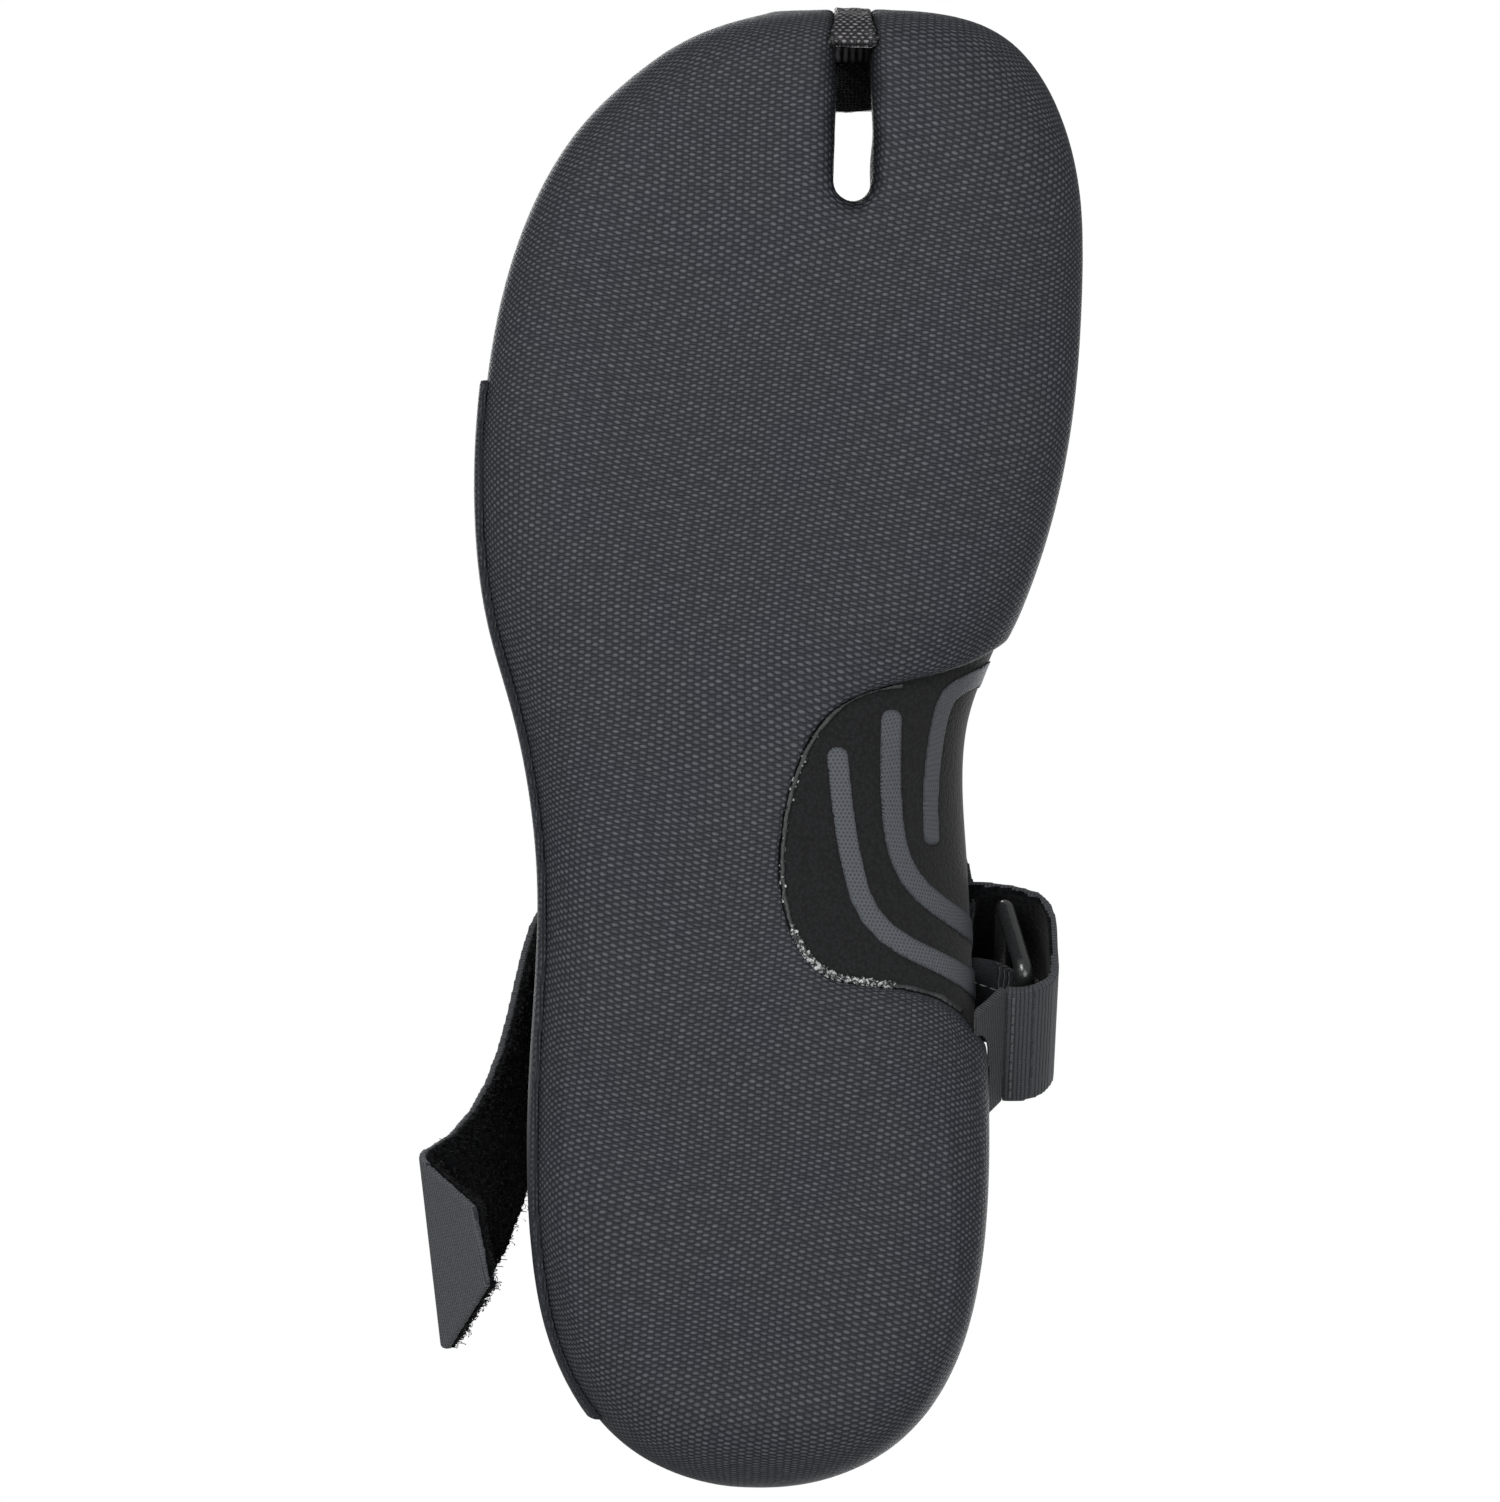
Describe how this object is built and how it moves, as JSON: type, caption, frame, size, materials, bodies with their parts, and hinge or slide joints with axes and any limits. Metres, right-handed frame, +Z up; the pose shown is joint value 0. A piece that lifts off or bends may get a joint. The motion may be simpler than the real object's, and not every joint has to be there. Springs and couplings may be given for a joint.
{
  "type": "neoprene surf boot",
  "caption": "Right-foot split-toe neoprene surf boot: wrapped rubber sole with an open arch, instep strap turned round a ring, free hook-and-loop tail, flexing shaft.",
  "frame": {"origin": "on the ground under the heel's centre line, halfway along the boot's length", "axes": "+Z up out of the boot's opening, +Y towards the heel, +X towards the big toe and the arch"},
  "size_m": [0.1282, 0.285, 0.196],
  "materials": {
    "outsole_rubber": "matt, fine raised grain",
    "smooth_rubber": "smooth matt",
    "black_neoprene": "fine jersey over foam",
    "grey_print": "matt printed rubber",
    "seam_rubber": "satin liquid rubber",
    "grey_webbing": "ribbed elastic weave",
    "loop_pile": "brushed pile",
    "black_plastic": "satin moulded",
    "board": "non-woven felt",
    "thread": "twisted thread"
  },
  "bodies": {
    "boot": {"outsole": "outsole_rubber", "side_rand": "smooth_rubber", "toe_bridge": "outsole_rubber", "ankle_panel": "black_neoprene", "arch_panel": "black_neoprene", "sock_bottom": "black_neoprene", "vamp_panel": "black_neoprene", "throat_panel": "black_neoprene", "heel_panel": "black_neoprene", "outer_quarter_panel": "black_neoprene", "inner_quarter_panel": "black_neoprene", "footbed": "board", "arch_bars": "grey_print", "arch_edge_bead": "seam_rubber", "instep_strap": "grey_webbing", "strap_anchor_tab": "grey_webbing", "ring_keeper": "grey_webbing", "anchor_stitching": "thread", "hook_patch": "loop_pile", "vamp_seam_seal": "seam_rubber", "heel_seam_seal": "seam_rubber", "ankle_low_seam_seal": "seam_rubber"},
    "shaft": {"shaft_front_panel": "black_neoprene", "shaft_back_panel": "black_neoprene", "cuff_binding": "smooth_rubber", "ankle_high_seam_seal": "seam_rubber", "shaft_side_seam_seals": "seam_rubber", "pull_tab_base": "grey_webbing"},
    "pull_loop": {"pull_tab": "grey_webbing"},
    "ring": {"spreader_ring": "black_plastic"},
    "strap_tail": {"tail_webbing": "grey_webbing", "tail_loop_pile": "loop_pile"},
    "strap_tip": {"tip_webbing": "grey_webbing", "tip_loop_pile": "loop_pile"}
  },
  "joints": [
    {"name": "ankle_flex", "type": "hinge", "parent": "boot", "child": "shaft", "pos_m": [0, 0.078, 0.092], "axis": [1, 0, 0], "range_deg": [-25, 20], "deforming": ["ankle_panel"]},
    {"name": "pull_tab_hinge", "type": "hinge", "parent": "shaft", "child": "pull_loop", "pos_m": [0, 0.1263, 0.1784], "axis": [1, 0, 0], "range_deg": [-60, 20]},
    {"name": "ring_tilt", "type": "hinge", "parent": "boot", "child": "ring", "pos_m": [0.051, 0.05307, 0.02672], "axis": [0, 0.7507, 0.6606], "range_deg": [-8, 8]},
    {"name": "strap_tail_peel", "type": "hinge", "parent": "boot", "child": "strap_tail", "pos_m": [-0.02625, 0.0354, 0.0881], "axis": [-0.1315, 0.7596, 0.6369], "range_deg": [0, 52]},
    {"name": "strap_tip_fold", "type": "hinge", "parent": "strap_tail", "child": "strap_tip", "pos_m": [-0.06315, 0.09855, 0.0316], "axis": [0.1224, 0.9925, 0], "range_deg": [-8, 60]}
  ]
}
